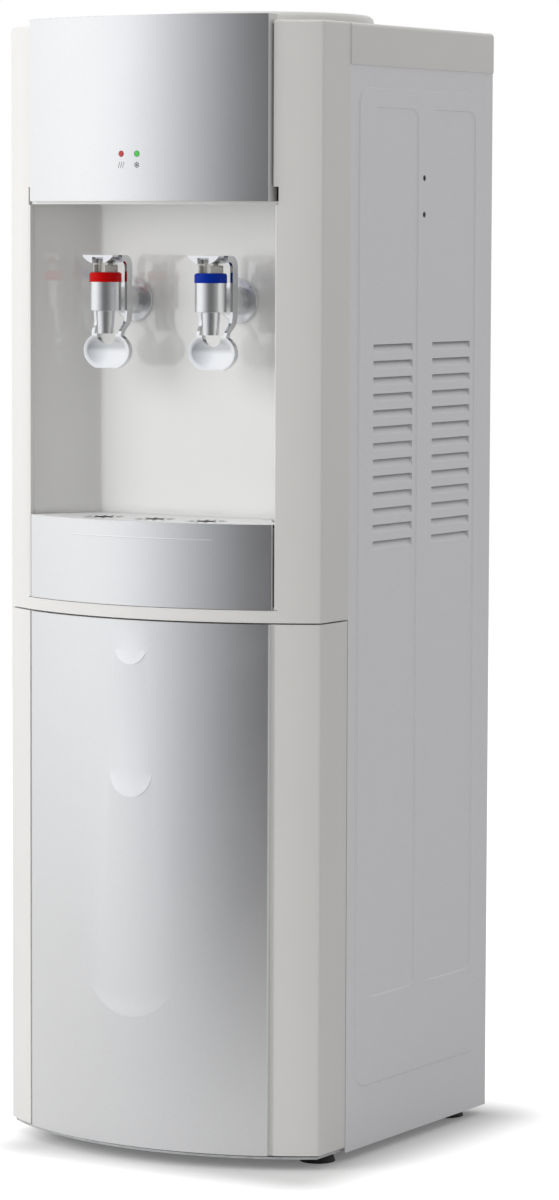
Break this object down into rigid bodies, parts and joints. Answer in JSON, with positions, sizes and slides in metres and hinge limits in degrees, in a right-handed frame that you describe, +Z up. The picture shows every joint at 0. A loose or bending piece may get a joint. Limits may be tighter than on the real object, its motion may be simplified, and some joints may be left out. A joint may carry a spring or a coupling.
{
  "type": "water cooler",
  "caption": "Floor-standing bottled-water cooler with a bowed front, hot and cold push-lever taps, a drip tray, a storage cabinet door and louvred steel sides.",
  "frame": {"origin": "on the floor, under the middle of the cabinet's bounding box", "axes": "+Z up, the front with its taps faces -Y, +X is to the right seen from the front"},
  "size_m": [0.3144, 0.342, 0.968],
  "materials": {
    "white_moulding": "glossy moulded",
    "alcove_white": "high gloss moulded",
    "silver_paint": "satin silver paint",
    "side_steel": "satin powder coat",
    "chassis_steel": "galvanised",
    "cover_white": "fine grain moulded",
    "seat_white": "moulded",
    "foot_rubber": "moulded rubber",
    "seal_rubber": "silicone",
    "liner_white": "moulded",
    "tray_grey": "moulded",
    "grille_silver": "satin moulded",
    "tap_silver": "satin silver moulded",
    "bonnet_grey": "satin moulded",
    "lever_silver": "satin silver moulded",
    "hot_red": "moulded",
    "cold_blue": "moulded",
    "lamp_red": "clear lens",
    "lamp_green": "clear lens",
    "stem_white": "moulded",
    "pin_steel": "turned",
    "spring_steel": "wire",
    "tank_steel": "drawn stainless",
    "foam": "expanded foam",
    "sink_aluminium": "extruded",
    "black_plastic": "moulded",
    "switch_red": "moulded",
    "switch_green": "moulded",
    "hose_silicone": "silicone hose",
    "plug_white": "moulded",
    "board_green": "circuit board"
  },
  "bodies": {
    "cabinet": {"base_plate": "chassis_steel", "bottle_seat": "seat_white", "cabinet_liner": "liner_white", "cable_gland": "black_plastic", "cold_lamp": "lamp_green", "cold_tank": "tank_steel", "cold_tank_foam": "foam", "cold_tap_body": "tap_silver", "cold_tap_bonnet": "bonnet_grey", "cold_tap_collar": "cold_blue", "cold_tap_spring": "spring_steel", "cold_tube": "hose_silicone", "control_panel": "silver_paint", "cooling_module": "sink_aluminium", "door_hinge_pins": "pin_steel", "door_strike": "chassis_steel", "drain_pipe": "hose_silicone", "drain_plug": "plug_white", "fan_frame": "black_plastic", "feed_probe": "seat_white", "feet": "foot_rubber", "front_frame": "white_moulding", "heat_sink": "sink_aluminium", "hot_feed_tube": "hose_silicone", "hot_lamp": "lamp_red", "hot_tank": "tank_steel", "hot_tank_jacket": "foam", "hot_tap_body": "tap_silver", "hot_tap_bonnet": "bonnet_grey", "hot_tap_collar": "hot_red", "hot_tap_spring": "spring_steel", "hot_tube": "hose_silicone", "lamp_board": "board_green", "left_side_panel": "side_steel", "power_board": "board_green", "rear_panel": "chassis_steel", "right_side_panel": "side_steel", "seat_gasket": "seal_rubber", "switch_housing": "black_plastic", "tank_stand": "chassis_steel", "tap_alcove": "alcove_white", "tap_nuts": "tap_silver", "top_cover": "cover_white", "works_shelf": "chassis_steel"},
    "door": {"door_shell": "white_moulding", "door_overlay": "silver_paint", "door_liner": "liner_white", "door_magnet": "black_plastic"},
    "tray": {"drip_tray": "tray_grey", "drip_tray_front": "silver_paint"},
    "grille": {"drip_grille": "grille_silver"},
    "hot_stem": {"hot_tap_stem": "stem_white", "hot_tap_seal": "seal_rubber"},
    "hot_lever": {"hot_tap_lever": "lever_silver"},
    "cold_stem": {"cold_tap_stem": "stem_white", "cold_tap_seal": "seal_rubber"},
    "cold_lever": {"cold_tap_lever": "lever_silver"},
    "fan": {"fan_rotor": "black_plastic"},
    "hot_rocker": {"hot_switch": "switch_red"},
    "cold_rocker": {"cold_switch": "switch_green"}
  },
  "joints": [
    {"name": "door_hinge", "type": "hinge", "parent": "cabinet", "child": "door", "pos_m": [-0.149, -0.08302, 0.235], "axis": [0, 0, -1], "range_deg": [0, 95]},
    {"name": "tray_slide", "type": "slide", "parent": "cabinet", "child": "tray", "axis": [0, -1, 0], "range_m": [0, 0.12]},
    {"name": "grille_lift", "type": "slide", "parent": "tray", "child": "grille", "axis": [0, 0, 1], "range_m": [0, 0.06]},
    {"name": "hot_stem_lift", "type": "slide", "parent": "cabinet", "child": "hot_stem", "axis": [0, 0, 1], "range_m": [0, 0.0024], "deforming": ["hot_tap_spring"]},
    {"name": "hot_lever_tip", "type": "hinge", "parent": "hot_stem", "child": "hot_lever", "pos_m": [-0.0526, -0.127, 0.7572], "axis": [1, 0, 0], "range_deg": [0, 16], "stiffness_Nm_per_rad": 0.6, "springref_deg": -11.46},
    {"name": "cold_stem_lift", "type": "slide", "parent": "cabinet", "child": "cold_stem", "axis": [0, 0, 1], "range_m": [0, 0.0024], "deforming": ["cold_tap_spring"]},
    {"name": "cold_lever_tip", "type": "hinge", "parent": "cold_stem", "child": "cold_lever", "pos_m": [0.0526, -0.127, 0.7572], "axis": [1, 0, 0], "range_deg": [0, 16], "stiffness_Nm_per_rad": 0.6, "springref_deg": -11.46},
    {"name": "fan_spin", "type": "hinge", "parent": "cabinet", "child": "fan", "pos_m": [0, 0.155, 0.783], "axis": [0, 1, 0], "continuous": true},
    {"name": "hot_rocker_tip", "type": "hinge", "parent": "cabinet", "child": "hot_rocker", "pos_m": [-0.115, 0.166, 0.6], "axis": [1, 0, 0], "range_deg": [0, 16]},
    {"name": "cold_rocker_tip", "type": "hinge", "parent": "cabinet", "child": "cold_rocker", "pos_m": [-0.095, 0.166, 0.6], "axis": [1, 0, 0], "range_deg": [0, 16]}
  ],
  "couplings": [
    {"joint": "hot_stem_lift", "follows": "hot_lever_tip", "m_per_rad": 0.0085},
    {"joint": "cold_stem_lift", "follows": "cold_lever_tip", "m_per_rad": 0.0085}
  ]
}
